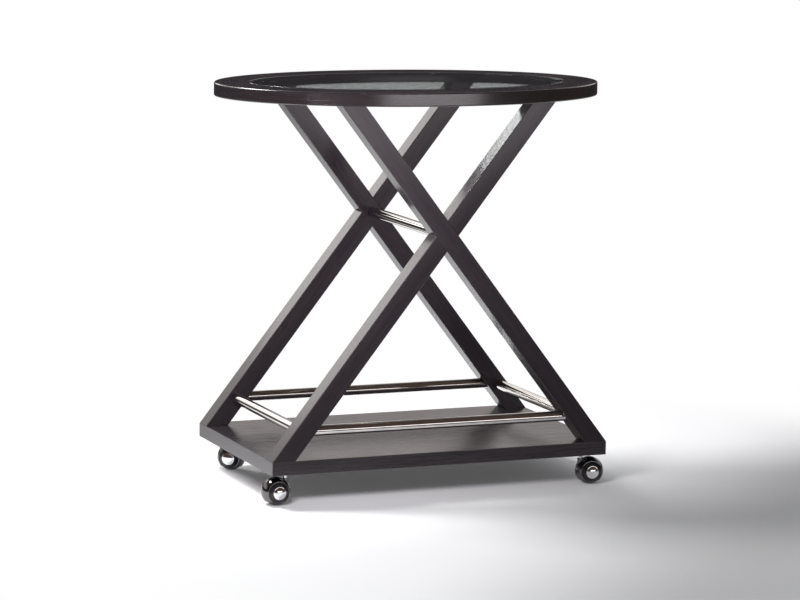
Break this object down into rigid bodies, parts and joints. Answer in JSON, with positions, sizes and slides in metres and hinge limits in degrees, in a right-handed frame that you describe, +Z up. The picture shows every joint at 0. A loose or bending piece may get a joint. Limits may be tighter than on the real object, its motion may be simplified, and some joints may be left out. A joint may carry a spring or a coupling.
{
  "type": "room service table",
  "caption": "Wheeled service table: oval wood-rimmed glass top on two crossed wood frames, over a rectangular wood shelf with steel tube rails and swivelling ball casters.",
  "frame": {"origin": "on the floor under the middle of the table", "axes": "+X along the table's length towards its right end, +Y towards the back frame, +Z up"},
  "size_m": [0.76, 0.49, 0.762],
  "materials": {
    "dark_wood": "ebonised fine-grained wood, satin lacquer",
    "clear_glass": "clear tempered glass, ground edge",
    "clear_pad": "clear soft pad",
    "polished_steel": "polished stainless tube",
    "zinc_steel": "zinc plated",
    "caster_chrome": "bright plated",
    "black_wheel": "smooth black tread"
  },
  "bodies": {
    "table": {"top_ring": "dark_wood", "front_bar_left_foot": "dark_wood", "front_bar_right_foot": "dark_wood", "back_bar_left_foot": "dark_wood", "back_bar_right_foot": "dark_wood", "shelf_panel": "dark_wood", "glass_panel": "clear_glass", "glass_pads": "clear_pad", "cross_stretcher": "polished_steel", "front_rail": "polished_steel", "back_rail": "polished_steel", "left_rail": "polished_steel", "right_rail": "polished_steel", "head_studs": "zinc_steel", "foot_screws": "zinc_steel", "stretcher_plugs": "zinc_steel", "stretcher_studs": "zinc_steel", "side_rail_plugs": "zinc_steel", "side_rail_studs": "zinc_steel", "caster_fl_socket": "caster_chrome", "caster_fr_socket": "caster_chrome", "caster_bl_socket": "caster_chrome", "caster_br_socket": "caster_chrome"},
    "caster_fl_swivel": {"caster_fl_stem": "caster_chrome", "caster_fl_hood": "caster_chrome", "caster_fl_axle": "zinc_steel", "caster_fl_clips": "zinc_steel"},
    "caster_fl_roller_1": {"caster_fl_wheel_1": "black_wheel", "caster_fl_cap_1": "caster_chrome"},
    "caster_fl_roller_2": {"caster_fl_wheel_2": "black_wheel", "caster_fl_cap_2": "caster_chrome"},
    "caster_fr_swivel": {"caster_fr_stem": "caster_chrome", "caster_fr_hood": "caster_chrome", "caster_fr_axle": "zinc_steel", "caster_fr_clips": "zinc_steel"},
    "caster_fr_roller_1": {"caster_fr_wheel_1": "black_wheel", "caster_fr_cap_1": "caster_chrome"},
    "caster_fr_roller_2": {"caster_fr_wheel_2": "black_wheel", "caster_fr_cap_2": "caster_chrome"},
    "caster_bl_swivel": {"caster_bl_stem": "caster_chrome", "caster_bl_hood": "caster_chrome", "caster_bl_axle": "zinc_steel", "caster_bl_clips": "zinc_steel"},
    "caster_bl_roller_1": {"caster_bl_wheel_1": "black_wheel", "caster_bl_cap_1": "caster_chrome"},
    "caster_bl_roller_2": {"caster_bl_wheel_2": "black_wheel", "caster_bl_cap_2": "caster_chrome"},
    "caster_br_swivel": {"caster_br_stem": "caster_chrome", "caster_br_hood": "caster_chrome", "caster_br_axle": "zinc_steel", "caster_br_clips": "zinc_steel"},
    "caster_br_roller_1": {"caster_br_wheel_1": "black_wheel", "caster_br_cap_1": "caster_chrome"},
    "caster_br_roller_2": {"caster_br_wheel_2": "black_wheel", "caster_br_cap_2": "caster_chrome"}
  },
  "joints": [
    {"name": "caster_fl_turn", "type": "hinge", "parent": "table", "child": "caster_fl_swivel", "pos_m": [-0.303, -0.167, 0.06], "axis": [0, 0, 1], "continuous": true},
    {"name": "caster_fl_roll_1", "type": "hinge", "parent": "caster_fl_swivel", "child": "caster_fl_roller_1", "pos_m": [-0.3205, -0.16669, 0.025], "axis": [0.0175, 0.9998, 0], "continuous": true},
    {"name": "caster_fl_roll_2", "type": "hinge", "parent": "caster_fl_swivel", "child": "caster_fl_roller_2", "pos_m": [-0.3205, -0.16669, 0.025], "axis": [0.0175, 0.9998, 0], "continuous": true},
    {"name": "caster_fr_turn", "type": "hinge", "parent": "table", "child": "caster_fr_swivel", "pos_m": [0.303, -0.167, 0.06], "axis": [0, 0, 1], "continuous": true},
    {"name": "caster_fr_roll_1", "type": "hinge", "parent": "caster_fr_swivel", "child": "caster_fr_roller_1", "pos_m": [0.32028, -0.16974, 0.025], "axis": [-0.1564, -0.9877, 0], "continuous": true},
    {"name": "caster_fr_roll_2", "type": "hinge", "parent": "caster_fr_swivel", "child": "caster_fr_roller_2", "pos_m": [0.32028, -0.16974, 0.025], "axis": [-0.1564, -0.9877, 0], "continuous": true},
    {"name": "caster_bl_turn", "type": "hinge", "parent": "table", "child": "caster_bl_swivel", "pos_m": [-0.303, 0.167, 0.06], "axis": [0, 0, 1], "continuous": true},
    {"name": "caster_bl_roll_1", "type": "hinge", "parent": "caster_bl_swivel", "child": "caster_bl_roller_1", "pos_m": [-0.28902, 0.15647, 0.025], "axis": [-0.6018, -0.7986, 0], "continuous": true},
    {"name": "caster_bl_roll_2", "type": "hinge", "parent": "caster_bl_swivel", "child": "caster_bl_roller_2", "pos_m": [-0.28902, 0.15647, 0.025], "axis": [-0.6018, -0.7986, 0], "continuous": true},
    {"name": "caster_br_turn", "type": "hinge", "parent": "table", "child": "caster_br_swivel", "pos_m": [0.303, 0.167, 0.06], "axis": [0, 0, 1], "continuous": true},
    {"name": "caster_br_roll_1", "type": "hinge", "parent": "caster_br_swivel", "child": "caster_br_roller_1", "pos_m": [0.31944, 0.16101, 0.025], "axis": [-0.342, -0.9397, 0], "continuous": true},
    {"name": "caster_br_roll_2", "type": "hinge", "parent": "caster_br_swivel", "child": "caster_br_roller_2", "pos_m": [0.31944, 0.16101, 0.025], "axis": [-0.342, -0.9397, 0], "continuous": true}
  ]
}
